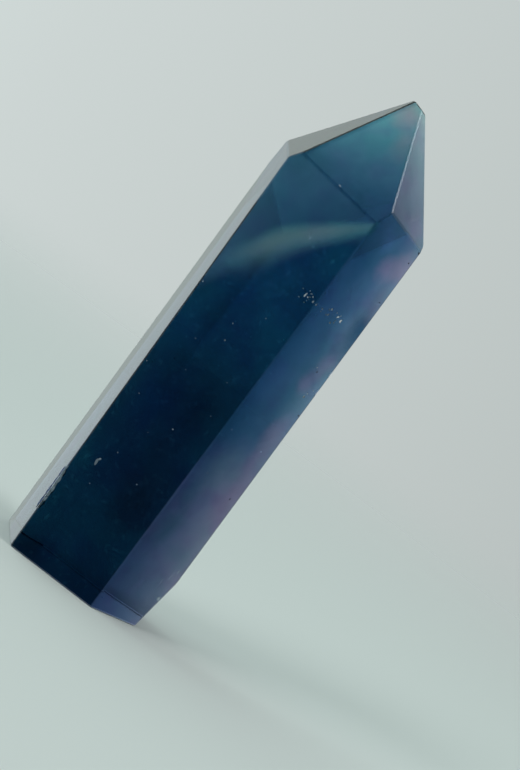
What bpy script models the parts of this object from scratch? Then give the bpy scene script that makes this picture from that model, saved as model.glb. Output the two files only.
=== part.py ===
"""A cut and polished fluorite point: a six-sided column, ground to a six-sided tip at one end.

The stone stands on its flat sawn base. +Z is the long axis and -Y the side with the broad front face.
Units are metres.
"""

import math

import bmesh
import bpy
from mathutils import Matrix, Vector

# The rough blank that the stone is ground from.
BLANK_RADIUS = 0.018
BLANK_LENGTH = 0.090
BLANK_SIDES = 6

# Half way up the column, on its axis. Every face is placed by its distance from this point.
MID_HEIGHT = 0.0375

# The ground faces. Bearing is measured in degrees from the front (-Y) toward +X, rise in degrees above
# level, and reach is the distance from the middle of the stone to the face, along the face's normal.
COLUMN_FACES = {
    "left": (-79.0, 0.0, 0.01060),
    "front": (-8.0, 1.25, 0.00810),
    "right": (50.0, 0.3, 0.00867),
    "right_back": (107.0, -0.6, 0.01030),
    "back": (172.0, 0.3, 0.00940),
    "left_back": (-145.0, 1.6, 0.01063),
}
TIP_FACES = {
    "tip_front": (-4.2, 26.9, 0.01728),
    "tip_right": (57.3, 30.6, 0.01966),
    "tip_right_back": (114.0, 33.0, 0.02136),
    "tip_back": (-160.4, 21.6, 0.01487),
    "tip_left_back": (-130.0, 33.2, 0.02175),
    "tip_left": (-73.0, 34.0, 0.02188),
}

# The sharp point is broken off in one small flat, a little lower on its right.
TIP_BREAK_HEIGHT = 0.0751
TIP_BREAK_TILT = 18.0

# The polish takes every edge down to a narrow flat.
EDGE_FLAT = 0.00016
EDGE_MIN_ANGLE = 8.0

# Shallow round bites out of two long edges. Each has its height up the stone, the depth of the bite, the
# radius of the round that it follows, and how far that round is stretched along the edge.
FRONT_LEFT_BITES = (
    (0.0113, 0.00022, 0.0010, 1.5),
    (0.0097, 0.00034, 0.0009, 1.2),
    (0.0082, 0.00028, 0.0012, 1.4),
    (0.0066, 0.00045, 0.0011, 1.3),
)
BACK_RIGHT_BITES = (
    (0.0409, 0.00018, 0.0007, 1.2),
    (0.0379, 0.00022, 0.0008, 1.6),
    (0.0041, 0.00060, 0.0013, 1.2),
)
BITE_ROUNDNESS = 2

# One small nick in the front rim of the broken tip, on its left.
TIP_NICK_PLACE = (-0.0005, -0.0002, 0.0755)
TIP_NICK_RADIUS = 0.0004

# Deep blue-green to navy stone, polished all over.
STONE_COLOUR = (0.020, 0.075, 0.165, 1.0)
STONE_ROUGHNESS = 0.06


def clear_scene():
    """Empty the scene of the objects it starts with."""
    for item in list(bpy.data.objects):
        bpy.data.objects.remove(item, do_unlink=True)


def new_collection(name):
    """A collection linked to the scene."""
    group = bpy.data.collections.new(name)
    bpy.context.scene.collection.children.link(group)
    return group


def face_normal(bearing, rise):
    """The outward normal of a face from its bearing and rise in degrees."""
    turn = math.radians(bearing)
    lift = math.radians(rise)
    return Vector((math.sin(turn) * math.cos(lift), -math.cos(turn) * math.cos(lift), math.sin(lift)))


def face_plane(face):
    """A point of the face and its outward normal."""
    bearing, rise, reach = face
    normal = face_normal(bearing, rise)
    return Vector((0.0, 0.0, MID_HEIGHT)) + normal * reach, normal


def edge_at_height(first, second, height):
    """Where the edge between two faces passes a height, and the direction that points out of it."""
    point_a, normal_a = face_plane(first)
    point_b, normal_b = face_plane(second)
    level = Vector((0.0, 0.0, 1.0))
    rows = Matrix((normal_a, normal_b, level))
    place = rows.inverted() @ Vector((point_a.dot(normal_a), point_b.dot(normal_b), height))
    outward = normal_a + normal_b
    outward.z = 0.0
    return place, outward.normalized()


def grind(mesh, point, normal):
    """Grind away all that lies beyond a plane, and leave a flat face there."""
    geometry = list(mesh.verts) + list(mesh.edges) + list(mesh.faces)
    cut = bmesh.ops.bisect_plane(mesh, geom=geometry, plane_co=point, plane_no=normal, clear_outer=True)
    rim = [item for item in cut["geom_cut"] if isinstance(item, bmesh.types.BMEdge)]
    bmesh.ops.edgeloop_fill(mesh, edges=rim)


def stone_material():
    """Polished deep blue fluorite."""
    material = bpy.data.materials.new("fluorite")
    material.use_nodes = True
    shader = material.node_tree.nodes["Principled BSDF"]
    shader.inputs["Base Color"].default_value = STONE_COLOUR
    shader.inputs["Roughness"].default_value = STONE_ROUGHNESS
    shader.inputs["Metallic"].default_value = 0.0
    return material


def ground_stone():
    """The blank with every face ground, its base at height 0."""
    mesh = bmesh.new()
    bmesh.ops.create_cone(mesh, cap_ends=True, segments=BLANK_SIDES, radius1=BLANK_RADIUS,
                          radius2=BLANK_RADIUS, depth=BLANK_LENGTH,
                          matrix=Matrix.Translation((0.0, 0.0, BLANK_LENGTH / 2)))
    for face in list(COLUMN_FACES.values()) + list(TIP_FACES.values()):
        grind(mesh, *face_plane(face))
    grind(mesh, Vector((0.0, 0.0, TIP_BREAK_HEIGHT)), face_normal(90.0, 90.0 - TIP_BREAK_TILT))
    bmesh.ops.recalc_face_normals(mesh, faces=mesh.faces)
    data = bpy.data.meshes.new("fluorite_point")
    mesh.to_mesh(data)
    mesh.free()
    return data


def add_bite(group, name, place, radius, stretch):
    """A round cutter that takes one bite out of the stone."""
    mesh = bmesh.new()
    bmesh.ops.create_icosphere(mesh, subdivisions=BITE_ROUNDNESS, radius=radius)
    bmesh.ops.scale(mesh, vec=(1.0, 1.0, stretch), verts=mesh.verts)
    data = bpy.data.meshes.new(name)
    mesh.to_mesh(data)
    mesh.free()
    cutter = bpy.data.objects.new(name, data)
    cutter.location = place
    cutter.hide_render = True
    cutter.display_type = "WIRE"
    group.objects.link(cutter)


def add_edge_bites(group, name, first, second, bites):
    """The bites along the edge between two faces."""
    for number, (height, depth, radius, stretch) in enumerate(bites, start=1):
        place, outward = edge_at_height(first, second, height)
        add_bite(group, f"{name}_{number}", place + outward * (radius - depth), radius, stretch)


def centre_on_origin(data):
    """Shift the stone so that the middle of its outline stands over the origin, and return the shift."""
    across = [vertex.co.x for vertex in data.vertices]
    away = [vertex.co.y for vertex in data.vertices]
    shift = Vector((-(min(across) + max(across)) / 2, -(min(away) + max(away)) / 2, 0.0))
    data.transform(Matrix.Translation(shift))
    return shift


def build():
    """Make the stone and the cutters of its bites."""
    clear_scene()
    parts = new_collection("Fluorite point")
    cutters = new_collection("Cutters")

    data = ground_stone()
    shift = centre_on_origin(data)
    stone = bpy.data.objects.new("fluorite_point", data)
    stone.data.materials.append(stone_material())
    parts.objects.link(stone)

    add_edge_bites(cutters, "front_left_bite", COLUMN_FACES["front"], COLUMN_FACES["left"], FRONT_LEFT_BITES)
    add_edge_bites(cutters, "back_right_bite", COLUMN_FACES["right"], COLUMN_FACES["right_back"],
                   BACK_RIGHT_BITES)
    add_bite(cutters, "tip_nick", Vector(TIP_NICK_PLACE), TIP_NICK_RADIUS, 1.0)
    for cutter in cutters.objects:
        cutter.location += shift

    polish = stone.modifiers.new("Edge flats", "BEVEL")
    polish.width = EDGE_FLAT
    polish.segments = 1
    polish.limit_method = "ANGLE"
    polish.angle_limit = math.radians(EDGE_MIN_ANGLE)

    damage = stone.modifiers.new("Bites", "BOOLEAN")
    damage.operation = "DIFFERENCE"
    damage.operand_type = "COLLECTION"
    damage.collection = cutters
    damage.solver = "EXACT"


build()
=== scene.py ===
"""A polished fluorite point: the ground stone, what is frozen inside it, and a plain studio for it.

Lengths are metres, in the row's frame: +Z up along the stone, -Y on the side of its broad front face.
"""

import math
import random

import bmesh
import bpy
from bpy.props import FloatProperty, FloatVectorProperty, IntProperty, PointerProperty
from mathutils import Matrix, Vector


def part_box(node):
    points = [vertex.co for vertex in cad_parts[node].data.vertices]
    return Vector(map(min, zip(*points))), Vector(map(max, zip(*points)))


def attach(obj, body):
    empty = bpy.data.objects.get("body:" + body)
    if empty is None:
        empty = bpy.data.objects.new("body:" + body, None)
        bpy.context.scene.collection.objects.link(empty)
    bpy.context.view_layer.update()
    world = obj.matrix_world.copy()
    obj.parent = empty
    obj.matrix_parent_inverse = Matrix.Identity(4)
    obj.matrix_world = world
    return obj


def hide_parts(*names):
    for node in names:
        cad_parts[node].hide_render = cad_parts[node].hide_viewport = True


bl_info = {
    "name": "Fluorite point",
    "version": (1, 0, 0),
    "blender": (4, 5, 0),
    "location": "3D View > Sidebar > Fluorite",
    "description": "Grinds, clouds and lights a polished fluorite point",
    "category": "Object",
}

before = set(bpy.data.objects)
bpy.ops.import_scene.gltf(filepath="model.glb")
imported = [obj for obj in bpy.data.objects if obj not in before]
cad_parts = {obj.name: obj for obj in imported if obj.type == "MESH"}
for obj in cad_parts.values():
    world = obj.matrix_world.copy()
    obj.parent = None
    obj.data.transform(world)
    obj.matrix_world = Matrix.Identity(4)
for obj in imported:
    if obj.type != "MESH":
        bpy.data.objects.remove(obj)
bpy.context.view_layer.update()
STONE_NODE = "fluorite_point"
BODY = "root"

MM = 0.001

# A face of the frame counts as ground when it is wider than this; the flats along the edges are narrower.
GROUND_WIDTH = 0.00035
SAME_FACE_ANGLE = math.radians(0.8)
SAME_FACE_GAP = 0.00003

# The border of the stone's dark growth zone is two slanting planes that run into each other in a soft bend.
# Each is a place in x and z that it passes through, and the way into the zone.
ZONE_PLANES = (
    ((4.44 * MM, 60.30 * MM), (0.608, -0.794)),
    ((-5.55 * MM, 51.78 * MM), (0.866, -0.500)),
)
ZONE_BEND = 1.8 * MM

# A cloud bends the border: its scale, and how far it bends the navy of the zone and the milky band.
ZONE_CLOUD_SCALE = 180.0
NAVY_WOBBLE = 1.2 * MM
BAND_WOBBLE = 0.5 * MM

# How far inside the border the navy starts and is full, and the heights between which painted shade
# darkens it toward the foot.
ZONE_FADE = (0.6 * MM, 3.4 * MM)
FOOT_SHADE_FADE = (47.0 * MM, 30.0 * MM)

# The milky band along the border: how it rises and falls off into the zone, how much wider it grows toward
# the left, and the heights at which it starts at its left end and fades at its right end.
BAND_RISE = (-0.3 * MM, 1.15 * MM)
BAND_FALL = (3.8 * MM, 0.7 * MM)
BAND_WIDTHS = (5.0 * MM, -4.0 * MM, 0.60, 1.6)
BAND_LEFT_END = (43.2 * MM, 52.8 * MM)
BAND_RIGHT_END = (60.5 * MM, 55.0 * MM, 0.50, 1.0)

# Each sheet of the band: its width and height, the middle of it in x and z, how far it stays inside the
# faces, and how thick it is.
SHEET_SIZE = (14.5 * MM, 20.0 * MM)
SHEET_MIDDLE = (-1.9 * MM, 53.0 * MM)
SHEET_MARGIN = 0.3 * MM
SHEET_THICKNESS = 0.03 * MM
SHEET_STEPS = 24

# Shallow chips: place, radius, stretch along the edge.
CHIPS = (
    ((-9.10, -6.95, 11.30), 0.62, 1.5),
    ((-9.20, -6.98, 9.90), 0.55, 1.3),
    ((-9.08, -6.90, 8.55), 0.70, 1.6),
    ((-9.22, -7.00, 6.70), 0.80, 1.3),
    ((11.55, -0.95, 40.90), 0.40, 1.5),
    ((11.52, -1.00, 37.90), 0.42, 1.9),
    ((11.55, -1.05, 4.10), 0.85, 1.4),
    ((-0.05, -0.65, 75.50), 0.34, 1.0),
)

# Flecks of a healed crack that runs level across the front edge: x, z, width, height, spin in degrees and
# how pale it is.
FLECKS = (
    (2.79, 47.70, 0.20, 0.66, -9.0, 0.55), (3.18, 47.62, 0.22, 0.20, 20.0, 0.35),
    (2.96, 48.44, 0.12, 0.16, 0.0, 0.25), (3.68, 48.03, 0.18, 0.26, 30.0, 0.20),
    (4.06, 47.54, 0.24, 0.34, -15.0, 0.28), (4.56, 47.47, 0.26, 0.30, 40.0, 0.28),
    (5.53, 47.44, 0.30, 0.26, 0.0, 0.15), (6.53, 48.06, 0.40, 0.32, 25.0, 0.30),
    (6.53, 47.23, 0.24, 0.42, -30.0, 0.18), (7.31, 46.50, 0.30, 0.26, 0.0, 0.14),
    (7.71, 46.76, 0.28, 0.22, 10.0, 0.12), (7.73, 47.68, 0.48, 0.26, 40.0, 0.85),
    (8.31, 47.37, 0.38, 0.46, -20.0, 1.00), (7.33, 48.02, 0.20, 0.16, 0.0, 0.22),
    (2.23, 47.01, 0.26, 0.12, 0.0, 0.15), (7.95, 47.95, 0.16, 0.20, 0.0, 0.40),
)

# The line along which the crack's finest flecks lie: x and z where it starts and ends, and how far they
# spread to its sides.
CRACK_START = (2.0, 47.85)
CRACK_END = (8.6, 47.1)
CRACK_SPREAD = 0.40

# Pale specks on the front faces: x, z, width, height and how pale it is.
SPECKS = (
    (-8.67, 41.40, 0.14, 0.20, 0.65), (-0.94, 53.71, 0.09, 0.34, 0.45), (-1.25, 53.98, 0.08, 0.22, 0.30),
    (-2.49, 39.40, 0.15, 0.18, 0.22), (-2.06, 37.10, 0.22, 0.24, 0.14), (-0.79, 24.21, 0.17, 0.15, 0.45),
    (-5.28, 12.42, 0.14, 0.12, 0.20), (-0.39, 15.91, 0.13, 0.13, 0.35), (0.50, 42.36, 0.12, 0.12, 0.12),
    (-8.55, 29.17, 0.11, 0.14, 0.30), (-4.71, 17.68, 0.20, 0.18, 0.12), (-6.20, 15.12, 0.34, 0.95, 0.22),
    (-6.06, 15.62, 0.26, 0.40, 0.32), (9.91, 27.82, 0.17, 0.16, 0.90), (6.64, 20.24, 0.16, 0.14, 0.30),
    (5.93, 22.19, 0.13, 0.16, 0.30), (9.39, 40.79, 0.26, 0.13, 0.45), (10.73, 37.99, 0.18, 0.24, 0.60),
    (10.20, 36.70, 0.34, 0.40, 0.42), (10.35, 37.25, 0.20, 0.26, 0.70), (5.22, 28.50, 0.12, 0.16, 0.25),
    (9.35, 6.78, 0.10, 0.90, 0.45), (9.99, 7.92, 0.09, 1.10, 0.50), (10.45, 8.90, 0.14, 0.60, 0.60),
    (10.40, 4.60, 0.50, 0.60, 0.70), (-1.73, 61.16, 0.34, 0.14, 0.55),
    (1.30, 33.00, 0.10, 0.12, 0.12), (-3.90, 31.20, 0.12, 0.10, 0.12), (-6.90, 25.30, 0.16, 0.14, 0.14),
    (-3.10, 22.00, 0.11, 0.11, 0.12), (2.10, 28.40, 0.10, 0.12, 0.12), (-5.20, 35.10, 0.13, 0.12, 0.14),
)

# How deep the loose crumbs lie behind the faces, the deepest first.
CRUMB_DEPTHS = (2.2 * MM, 0.3 * MM)

# Flecks, crumbs and grains are flat: how thick each kind is.
FLECK_THICKNESS = 0.06 * MM
FINE_FLECK_THICKNESS = 0.04 * MM
CRUMB_THICKNESS = 0.05 * MM
GRAIN_SIZE = (0.20 * MM, 0.24 * MM, 0.04 * MM)

# Dark grains in the right face: x and z.
GRAINS = ((11.00, 58.27), (10.26, 20.51), (11.10, 34.25), (9.70, 40.30))

# Splinters left along the chipped front edge: x, z, width, height and how pale it is.
SPLINTERS = (
    (-8.98, 13.10, 0.14, 0.80, 0.75), (-8.99, 12.30, 0.10, 0.90, 0.95), (-8.97, 11.30, 0.10, 1.20, 1.00),
    (-8.95, 10.20, 0.12, 1.10, 0.90), (-8.93, 9.10, 0.12, 1.20, 0.95), (-8.92, 7.90, 0.12, 1.20, 0.80),
    (-8.86, 12.20, 0.24, 0.70, 0.30), (-8.80, 11.50, 0.30, 0.80, 0.22), (-8.76, 10.90, 0.26, 0.60, 0.40),
    (-8.70, 10.30, 0.34, 0.90, 0.26), (-8.74, 9.60, 0.30, 0.70, 0.18), (-8.66, 9.00, 0.34, 0.80, 0.34),
    (-8.72, 8.20, 0.30, 0.80, 0.24), (-8.70, 7.40, 0.24, 0.70, 0.30),
)

# Which way the named ground faces look: bearing from the front toward +X, and rise, in degrees.
FACE_WAYS = {
    "tip_front": (-4.0, 27.0),
    "front": (-8.0, 1.0),
    "right": (50.0, 0.0),
    "tip_right": (57.0, 31.0),
    "tip_left": (-73.0, 34.0),
    "right_back": (107.0, 0.0),
}

# The right face: the way from its front edge to its outer edge, where its tints start and end along that
# way, where its middle tint lies between them, and the heights between which the foot's tints, a painted
# light, take over.
ACROSS_RIGHT = (0.74, 0.67, -0.0215)
RIGHT_SPAN = (-3.7 * MM, 7.0 * MM)
RIGHT_MIDDLE = 0.6
RIGHT_FOOT_LIGHT_FADE = (29.0 * MM, 17.0 * MM)

# The heights between which the narrow tip face on the left turns blue.
TIP_LEFT_FADE = (65.0 * MM, 72.5 * MM)

# Tints that have no setting of their own. A pair goes from the first to the second.
CLEAR = (1.0, 1.0, 1.0, 1.0)
DUST_TINT = (4.0, 2.2, 1.8, 1.0)
BAND_RIM_TINT = (0.08, 0.80, 0.84, 1.0)
# Painted light: the paler, warmer tints of the right face toward the foot.
RIGHT_FOOT_LIGHT_TINTS = ((0.34, 0.72, 0.72, 1.0), (1.0, 0.90, 0.80, 1.0))
TIP_RIGHT_TINT = (0.50, 0.80, 0.82, 1.0)
TIP_LEFT_TINTS = ((0.62, 0.95, 0.95, 1.0), (0.10, 0.36, 0.46, 1.0))
DRIFT_TINT = (0.72, 0.93, 0.88, 1.0)
HAZE_TINT = (0.98, 0.76, 0.92, 1.0)
GRAIN_TINT = (0.72, 0.80, 0.86, 1.0)
MILK_TINTS = ((0.78, 0.82, 0.86, 1.0), (0.98, 0.95, 0.94, 1.0))
FLECK_TINTS = ((0.04, 0.09, 0.12, 1.0), (1.0, 1.0, 1.0, 1.0))
CRUMB_TINTS = ((0.03, 0.06, 0.08, 1.0), (0.66, 0.78, 0.88, 1.0))
DARK_GRAIN_TINTS = ((0.006, 0.008, 0.014, 1.0), (0.025, 0.028, 0.040, 1.0))

# Clouds in the stone: scale and detail of the noise, and the levels between which it thickens.
PATCH_CLOUDS = {"scale": 95.0, "detail": 5.0, "clear": 0.40, "thick": 0.60}
DUST_CLOUDS = {"scale": 1500.0, "detail": 2.0, "clear": 0.56, "thick": 0.76}
DRIFT_CLOUDS = {"scale": 170.0, "detail": 4.0, "clear": 0.36, "thick": 0.66}
HAZE_CLOUDS = {"scale": 230.0, "detail": 3.0, "clear": 0.45, "thick": 0.72}
SMEAR_CLOUDS = {"scale": 420.0, "detail": 5.0, "clear": 0.45, "thick": 0.75}
STREAK_CLOUDS = {"scale": 2200.0, "detail": 3.0, "clear": 0.30, "thick": 0.68}
GRAIN_CLOUDS = {"detail": 2.0, "clear": 0.35, "thick": 0.65}

# How far the patches and the haze are shifted, so that they don't follow the other clouds.
PATCH_SHIFT = (3.1, 7.0, 1.3)
HAZE_SHIFT = (9.0, 4.0, 2.0)

# The streaks of the band: their slope in the front face, and how they are drawn out along it.
STREAK_TURN = (0.0, math.radians(-8.0), 0.0)
STREAK_SCALE = (0.22, 1.0, 1.0)
STREAK_LEVELS = (0.60, 1.0)

# Polishing lines, a hardly visible bump: their slope, stretch, scale, strength and depth.
POLISH_TURN = (0.0, math.radians(38.0), 0.0)
POLISH_STRETCH = (1.0, 1.0, 0.5)
POLISH_SCALE = 700.0
POLISH_STRENGTH = 0.20
POLISH_DEPTH = 0.01 * MM

# Roughness of chipped and sawn stone, and how much rougher than the polish the smears are.
WORN_ROUGHNESS = 0.38
SMEAR_ROUGHNESS = 2.5

# A cloud bends the outlines of the balls below: its scale, and how far it bends them.
BALL_BEND_SCALE = 260.0
BALL_BEND = 4.0 * MM

# Soft balls in the stone, in millimetres: centre, size and what each multiplies the tint by.
TINT_BALLS = (
    ((-7.6, -6.6, 61.6), (5.5, 5.0, 5.5), (0.40, 0.50, 0.55, 1.0)),
    ((2.6, -7.0, 62.6), (5.0, 3.0, 2.6), (0.80, 0.92, 0.96, 1.0)),
    ((6.0, -6.9, 54.6), (3.0, 3.0, 4.2), (0.55, 0.80, 0.86, 1.0)),
    ((11.0, -1.6, 47.2), (3.4, 3.4, 9.5), (0.06, 0.22, 0.32, 1.0)),
    ((-5.6, -7.6, 43.4), (4.0, 3.0, 5.0), (1.35, 1.8, 1.75, 1.0)),
    ((-7.0, -7.6, 34.5), (4.5, 3.0, 8.0), (1.2, 1.2, 1.7, 1.0)),
    ((0.6, -8.8, 28.0), (4.5, 3.0, 7.5), (0.6, 0.42, 0.52, 1.0)),
    ((-5.5, -8.0, 26.0), (3.5, 3.0, 6.0), (0.9, 0.95, 1.5, 1.0)),
    ((0.9, -9.1, 14.2), (5.5, 3.0, 10.0), (0.9, 0.40, 0.36, 1.0)),
    ((8.5, -4.0, 38.0), (5.0, 6.0, 15.0), (0.55, 0.72, 0.64, 1.0)),
    ((5.5, -7.5, 15.0), (3.5, 3.5, 8.0), (0.55, 0.78, 0.70, 1.0)),
    ((10.4, -1.8, 57.2), (2.6, 3.2, 3.2), (0.85, 0.60, 0.62, 1.0)),
    ((-6.7, -8.1, 16.6), (3.5, 3.0, 5.0), (1.05, 1.45, 1.25, 1.0)),
    ((7.3, -5.8, 24.0), (3.5, 4.5, 6.0), (1.9, 1.6, 1.2, 1.0)),
    ((7.3, -5.6, 59.3), (2.2, 3.0, 2.8), (1.8, 1.35, 1.65, 1.0)),
    ((4.2, -3.7, 67.9), (2.6, 2.2, 4.5), (0.80, 0.86, 0.86, 1.0)),
    ((9.1, -2.2, 62.2), (2.0, 2.6, 3.2), (2.0, 1.25, 1.22, 1.0)),
    ((8.9, -3.8, 46.4), (1.6, 2.2, 3.2), (1.9, 1.28, 1.28, 1.0)),
    ((11.1, -1.1, 48.6), (1.9, 2.3, 3.0), (0.50, 0.62, 0.70, 1.0)),
    ((9.2, -3.5, 29.4), (1.8, 2.4, 3.2), (0.62, 0.64, 0.76, 1.0)),
    ((-0.6, -8.9, 21.2), (2.4, 2.4, 3.0), (0.90, 0.62, 0.66, 1.0)),
)

# The greyer stone by the point: centre and size of the ball.
POINT_BALL = ((-0.3, -1.2, 74.0), (3.4, 3.4, 3.8))

# Violet patches along the outer edge of the right face and in the tip: centre, size and strength.
VIOLET_BALLS = (
    ((10.9, -1.3, 57.8), (2.4, 3.2, 3.0), 0.72), ((9.2, -3.2, 56.0), (2.4, 2.8, 2.8), 0.60),
    ((10.9, -1.3, 51.2), (1.6, 2.2, 3.4), 0.12), ((10.2, -2.3, 41.4), (2.2, 2.6, 2.6), 0.30),
    ((9.4, -3.2, 38.4), (2.0, 2.6, 3.0), 0.28), ((10.1, -2.5, 28.2), (2.6, 3.0, 6.0), 0.54),
    ((10.0, -2.5, 21.0), (3.4, 3.8, 7.0), 1.0), ((1.8, -3.4, 70.0), (2.2, 2.4, 4.8), 0.30),
)

# Painted shade: dark lines along edges. Each is the face that the line lies on, the face beyond the edge, how
# far the line reaches from the edge in millimetres, and what it multiplies the tint by. A place counts as on
# the first face down to the edge depth in millimetres below it, and fully so at the outer depth.
EDGE_DEPTH = 0.16
EDGE_OUTER = 0.03 * MM
EDGE_SHADE_LINES = (
    ("tip_front", "front", 0.16, (0.30, 0.48, 0.60, 1.0)),
    ("tip_front", "tip_left", 0.70, (0.20, 0.36, 0.46, 1.0)),
    ("right", "right_back", 0.26, (0.08, 0.13, 0.20, 1.0)),
)

# The blank is this much longer than the stone. Cuts and welds work to these gaps.
BLANK_EXCESS = 1.3
CUT_GAP = 0.001 * MM
WELD_GAP = 0.002 * MM

# Edges sharper than this are rounded, and faces that meet at less than the second angle are shaded as one.
SHARP_ANGLE = math.radians(8.0)
SMOOTH_ANGLE = math.radians(26.0)

# The surround along x: where its ramp starts and ends, and where on the ramp the middle tone lies.
BACKDROP_SPAN = (-0.70, 0.35)
BACKDROP_MIDDLE = 0.543

# The floor: its radius, how far it lies below the base, and how far from the middle it has faded out and is
# still whole.
FLOOR_RADIUS = 1.2
FLOOR_GAP = 0.00006
FLOOR_FADE = (0.45, 0.06)

# The dark screen: its radius, its colour and the parts of a sphere that it covers, each as bearings from the
# front toward +X and as rises, in degrees.
SCREEN_RADIUS = 0.9
SCREEN_COLOUR = (0.020, 0.022, 0.024, 1.0)
SCREEN_PARTS = (((-65.0, 65.0), (-70.0, 62.0)), ((60.0, 113.0), (-70.0, 20.0)))

# The lamps: name, the way from the stone to it, how far off it is, and the setting with its power.
LAMP_SIZE = 0.20
LAMPS = (
    ("key light", (0.60, -0.23, 0.77), 0.55, "key_power"),
    ("fill light", (-0.55, -0.60, 0.58), 0.55, "fill_power"),
    ("back right light", (0.735, 0.524, 0.430), 0.60, "side_power"),
    ("back left light", (-0.46, 0.86, 0.25), 0.60, "rim_power"),
)
STONE_MIDDLE = (0.0, 0.0, 0.0375)

# The picture: its size in pixels, its scale at the stone, and a place on the stone with the pixel it is at.
PICTURE_WIDTH = 520.0
PICTURE_HEIGHT = 770.0
PIXELS_PER_METRE = 7800.0
SEEN_PLACE = (0.00045, -0.00045, 0.0375)
SEEN_AT = (246.5, 346.0)
SENSOR_HEIGHT = 24.0


def only_this(piece):
    """Select one object and nothing else."""
    bpy.ops.object.select_all(action="DESELECT")
    piece.select_set(True)
    bpy.context.view_layer.objects.active = piece


def open_mesh(piece):
    """Go into edit mode on one object, with all of its mesh selected."""
    only_this(piece)
    bpy.ops.object.mode_set(mode="EDIT")
    bpy.ops.mesh.select_all(action="SELECT")


def close_mesh():
    """Leave edit mode."""
    bpy.ops.object.mode_set(mode="OBJECT")


def join_pieces(pieces):
    """Join pieces into the first of them, and return it."""
    bpy.ops.object.select_all(action="DESELECT")
    for piece in pieces:
        piece.select_set(True)
    bpy.context.view_layer.objects.active = pieces[0]
    bpy.ops.object.join()
    return bpy.context.object


def settle(piece, name):
    """Name a piece and put its place, turn and size into its mesh."""
    only_this(piece)
    bpy.ops.object.transform_apply(location=True, rotation=True, scale=True)
    piece.name = name
    piece.data.name = name


def declare(piece):
    """The piece belongs to the stone and moves with it."""
    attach(piece, BODY)


def same_face(group, centre, normal):
    """Whether a small face lies in the same plane as a group of them."""
    apart = abs((centre - group["point"]).dot(group["normal"]))
    return normal.angle(group["normal"]) < SAME_FACE_ANGLE and apart < SAME_FACE_GAP


def ground_faces(node):
    """A point and the outward normal of each ground face of the frame's stone, the widest first."""
    groups = []
    for face in sorted(node.data.polygons, key=lambda item: -item.area):
        found = next((group for group in groups if same_face(group, face.center, face.normal)), None)
        if found is None:
            found = {"point": face.center.copy(), "normal": face.normal.copy(), "area": 0.0, "corners": []}
            groups.append(found)
        found["area"] += face.area
        found["corners"] += [node.data.vertices[index].co for index in face.vertices]
    kept = []
    for group in groups:
        corners = group["corners"]
        longest = max((one - other).length for one in corners for other in corners)
        if group["area"] / longest > GROUND_WIDTH:
            kept.append((group["point"], group["normal"], group["area"]))
    kept.sort(key=lambda item: -item[2])
    return [(point, normal) for point, normal, area in kept]


def surface_place(faces, x, z):
    """Where the camera's side of the stone lies at x and z in millimetres, and its outward normal there."""
    def reach(face):
        point, normal = face
        return point.y + ((point.x - x * MM) * normal.x + (point.z - z * MM) * normal.z) / normal.y

    nearest = max((face for face in faces if face[1].y < -0.05), key=reach)
    return Vector((x * MM, reach(nearest), z * MM)), nearest[1]


def flat_on(normal, spin):
    """The turn that lays a shape flat on a face, and spins it there."""
    return normal.to_track_quat("Z", "Y").to_matrix().to_4x4() @ Matrix.Rotation(spin, 4, "Z")


def node_of(tree, kind, place, **values):
    """Add a node; a value goes to its attribute of that name, or else to its input."""
    node = tree.nodes.new(kind)
    node.location = place
    for name, value in values.items():
        if hasattr(node, name):
            setattr(node, name, value)
        else:
            node.inputs[name.replace("_", " ").title()].default_value = value
    return node


def new_material(name):
    """A material with its node tree and its Principled shader."""
    material = bpy.data.materials.new(name)
    material.use_nodes = True
    return material, material.node_tree, material.node_tree.nodes["Principled BSDF"]


def object_place(tree, place):
    """The coordinates of the object, which are the frame's."""
    return node_of(tree, "ShaderNodeTexCoord", place).outputs["Object"]


def axes_of(tree, place, vector):
    """The X, Y and Z of a vector."""
    split = node_of(tree, "ShaderNodeSeparateXYZ", place)
    tree.links.new(vector, split.inputs[0])
    return split.outputs


def math_node(tree, place, operation, first, second=None):
    """A Math node; a socket is linked and a number is set."""
    node = node_of(tree, "ShaderNodeMath", place, operation=operation)
    for index, value in enumerate((first, second)):
        if value is None:
            continue
        if isinstance(value, bpy.types.NodeSocket):
            tree.links.new(value, node.inputs[index])
        else:
            node.inputs[index].default_value = value
    return node.outputs[0]


def ramp_node(tree, place, value, low, high, start=0.0, end=1.0, kind="SMOOTHSTEP"):
    """A clamped step of a value from start at low to end at high."""
    node = node_of(tree, "ShaderNodeMapRange", place, interpolation_type=kind)
    tree.links.new(value, node.inputs["Value"])
    node.inputs["From Min"].default_value = low
    node.inputs["From Max"].default_value = high
    node.inputs["To Min"].default_value = start
    node.inputs["To Max"].default_value = end
    return node.outputs["Result"]


def mix_node(tree, place, kind, factor, first, second):
    """A colour Mix node; a socket is linked, and a colour or number is set."""
    node = node_of(tree, "ShaderNodeMix", place, data_type="RGBA", blend_type=kind)
    for name, value in (("Factor_Float", factor), ("A_Color", first), ("B_Color", second)):
        socket = next(item for item in node.inputs if item.identifier == name)
        if isinstance(value, bpy.types.NodeSocket):
            tree.links.new(value, socket)
        else:
            socket.default_value = value
    return next(item for item in node.outputs if item.identifier == "Result_Color")


def new_group(name, inputs, outputs):
    """An empty shader node group with named inputs and outputs."""
    group = bpy.data.node_groups.new(name, "ShaderNodeTree")
    for label, kind, value in inputs:
        socket = group.interface.new_socket(name=label, in_out="INPUT", socket_type=kind)
        if value is not None:
            socket.default_value = value
    for label, kind in outputs:
        group.interface.new_socket(name=label, in_out="OUTPUT", socket_type=kind)
    group.nodes.new("NodeGroupInput").location = (-900, 0)
    group.nodes.new("NodeGroupOutput").location = (700, 0)
    return group


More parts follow.
